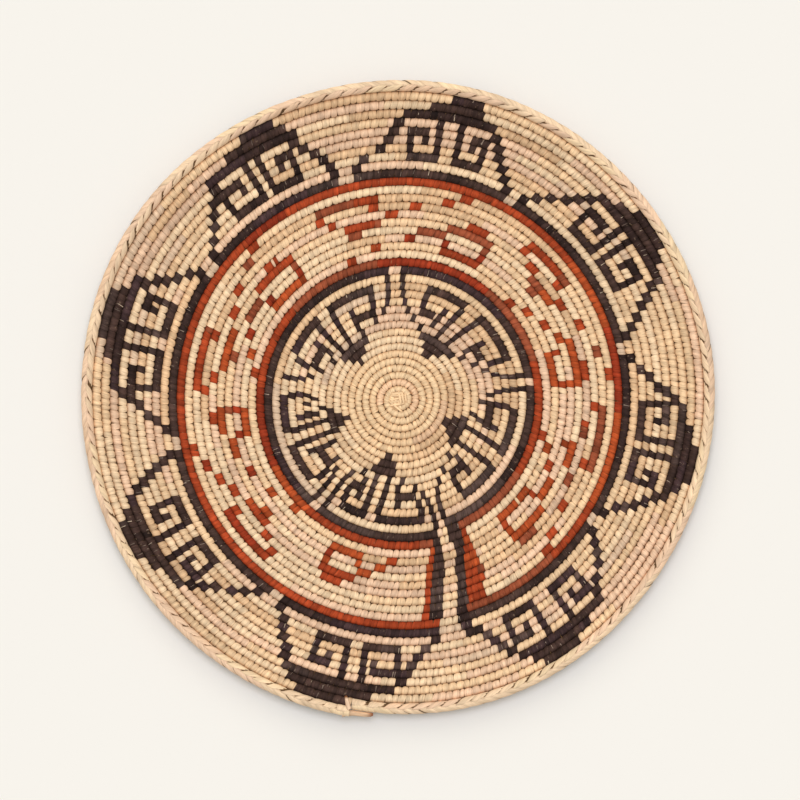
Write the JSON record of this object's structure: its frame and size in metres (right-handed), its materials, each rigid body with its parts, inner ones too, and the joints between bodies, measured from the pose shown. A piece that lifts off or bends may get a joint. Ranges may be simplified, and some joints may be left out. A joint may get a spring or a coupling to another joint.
{
  "type": "coiled wall plate",
  "caption": "Round, shallow coiled plate sewn in natural, dark and rust splints, with terraced and key-fret ornament round a pale centre and a herringbone braided rim.",
  "frame": {"origin": "middle of the plate on the plane that its underside rests on", "axes": "+Z out of the decorated face, +Y towards the side that hangs upwards, +X to the right as seen on the face"},
  "size_m": [0.3598, 0.3614, 0.0166],
  "materials": {
    "natural_wrap": "matt undyed plant splint",
    "dark_wrap": "dyed brown-black splint with a faint sheen",
    "rust_wrap": "dyed rust-red splint",
    "braid": "pale undyed braiding splint",
    "bundle": "dry grass bundle"
  },
  "bodies": {
    "root": {"start_knot": "natural_wrap", "centre_rows": "natural_wrap", "star_rows": "natural_wrap", "inner_dark_ring": "dark_wrap", "inner_rust_ring": "rust_wrap", "band_rows": "natural_wrap", "outer_rust_ring": "rust_wrap", "outer_dark_ring": "dark_wrap", "cloud_rows": "natural_wrap", "rim_core": "bundle", "braid_splint_01": "braid", "braid_splint_02": "braid", "braid_splint_03": "braid", "braid_splint_04": "braid", "braid_splint_05": "braid", "braid_splint_06": "braid", "braid_splint_07": "braid", "braid_splint_08": "braid", "braid_splint_09": "braid", "braid_splint_10": "braid", "braid_splint_11": "braid", "braid_splint_12": "braid", "tapered_end": "braid", "braid_tail": "braid"}
  },
  "joints": []
}
